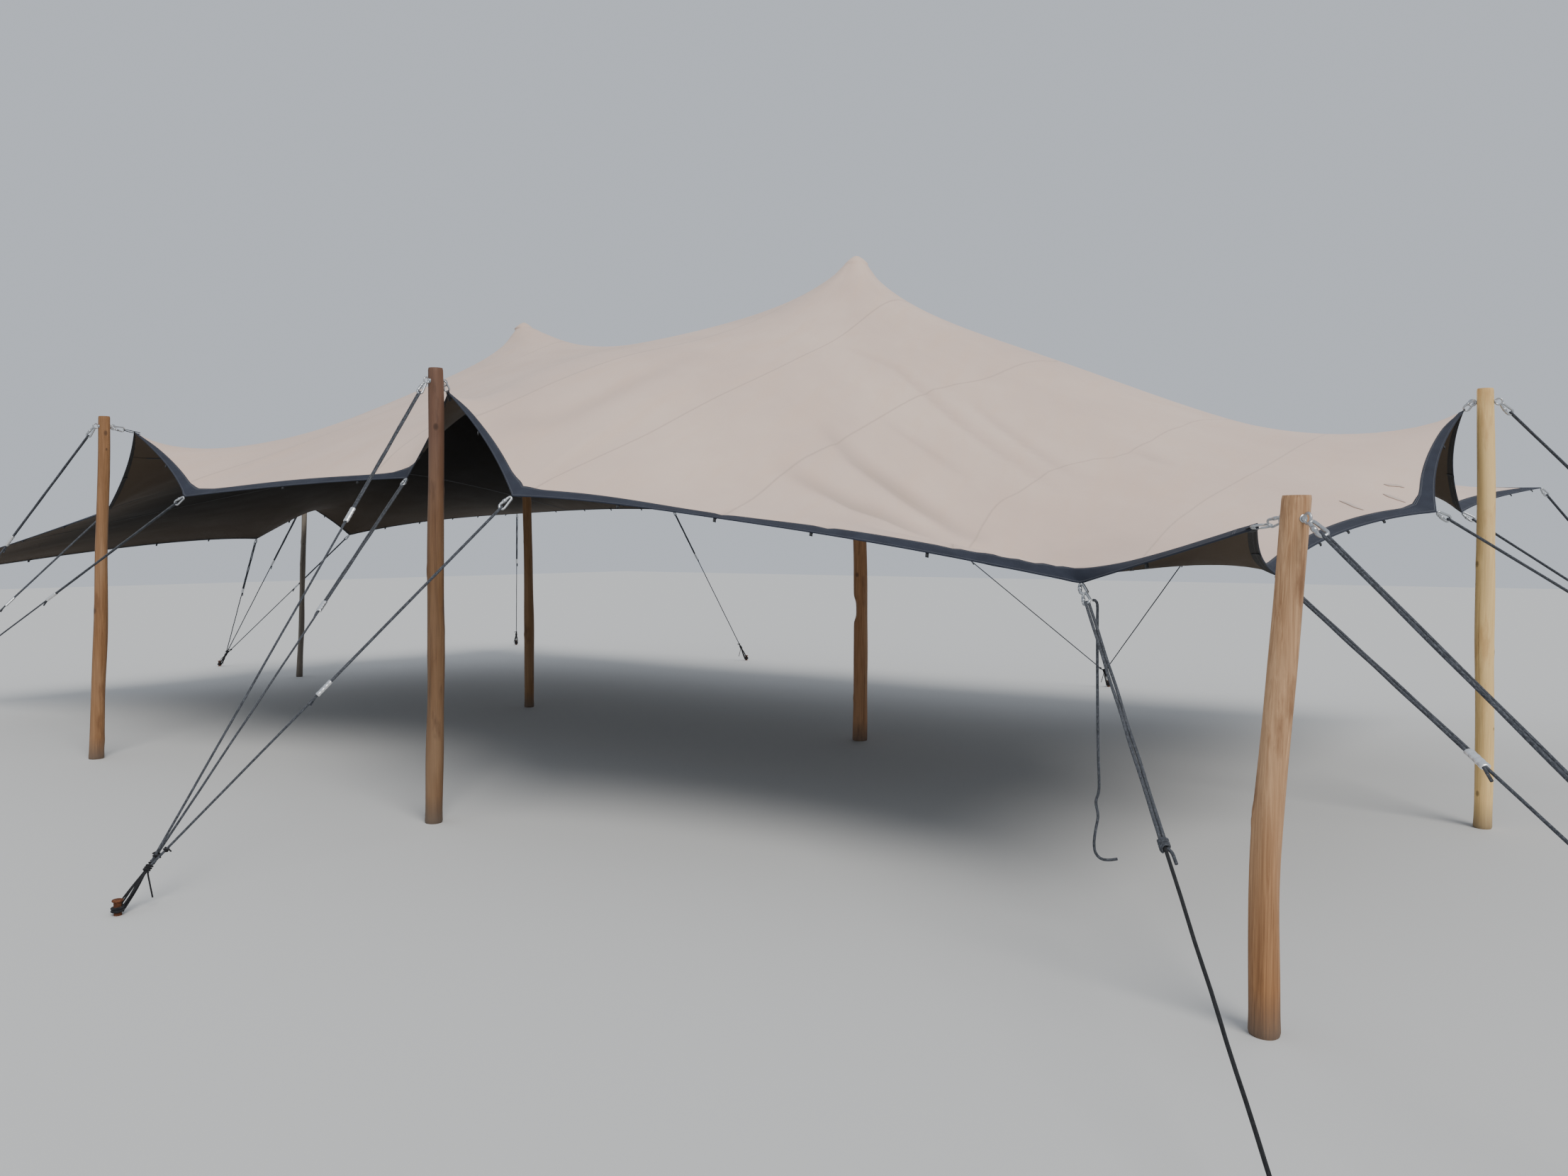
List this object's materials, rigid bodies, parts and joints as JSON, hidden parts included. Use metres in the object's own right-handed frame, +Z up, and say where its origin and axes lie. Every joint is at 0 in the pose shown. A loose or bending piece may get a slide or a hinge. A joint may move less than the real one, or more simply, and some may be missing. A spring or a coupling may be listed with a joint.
{
  "type": "stretch tent",
  "caption": "Stretch fabric tent with high peaks on centre poles, an edge lifted by timber side poles, and guy ropes pegged down around it.",
  "frame": {"origin": "middle of the main centre pole's foot, on the ground", "axes": "+X along the long side, to the right seen from the open front; +Y from the open front to the back; +Z up"},
  "size_m": [16.3268, 10.3268, 3.8825],
  "materials": {
    "canopy_fabric": "matt two-way stretch knit, sand on top and near black beneath",
    "edge_band": "dark slate woven webbing, sewn",
    "timber": "peeled round timber, oiled, with knots and drying cracks",
    "pole_cap": "black moulded cap",
    "galvanised_steel": "bright galvanised",
    "anchor_steel": "forged steel, brown with rust",
    "rope": "charcoal braided polyester"
  },
  "bodies": {
    "root": {"anchor_back_left": "anchor_steel", "anchor_back_middle": "anchor_steel", "anchor_back_right": "anchor_steel", "anchor_front_corner": "anchor_steel", "anchor_front_left": "anchor_steel", "anchor_front_middle": "anchor_steel", "anchor_front_right": "anchor_steel", "anchor_left": "anchor_steel", "anchor_left_back": "anchor_steel", "anchor_left_front": "anchor_steel", "anchor_right": "anchor_steel", "canopy_panel_1": "canopy_fabric", "canopy_panel_2": "canopy_fabric", "canopy_panel_3": "canopy_fabric", "canopy_panel_4": "canopy_fabric", "canopy_panel_5": "canopy_fabric", "canopy_panel_6": "canopy_fabric", "canopy_panel_7": "canopy_fabric", "edge_band_back": "edge_band", "edge_band_front": "edge_band", "edge_band_left": "edge_band", "edge_band_right": "edge_band", "guy_ropes_back_left": "rope", "guy_ropes_back_middle": "rope", "guy_ropes_back_right": "rope", "guy_ropes_front_corner": "rope", "guy_ropes_front_left": "rope", "guy_ropes_front_middle": "rope", "guy_ropes_front_right": "rope", "guy_ropes_left": "rope", "guy_ropes_left_back": "rope", "guy_ropes_left_front": "rope", "guy_ropes_right": "rope", "loose_rope_tail": "rope", "pole_cap_centre_main": "pole_cap", "pole_cap_centre_second": "pole_cap", "pole_centre_main": "timber", "pole_centre_second": "timber", "pole_front_corner": "timber", "pole_front_left": "timber", "pole_front_middle": "timber", "pole_head_front_corner": "galvanised_steel", "pole_head_front_left": "galvanised_steel", "pole_head_front_middle": "galvanised_steel", "pole_head_left": "galvanised_steel", "pole_head_right": "galvanised_steel", "pole_left": "timber", "pole_right": "timber"}
  },
  "joints": []
}
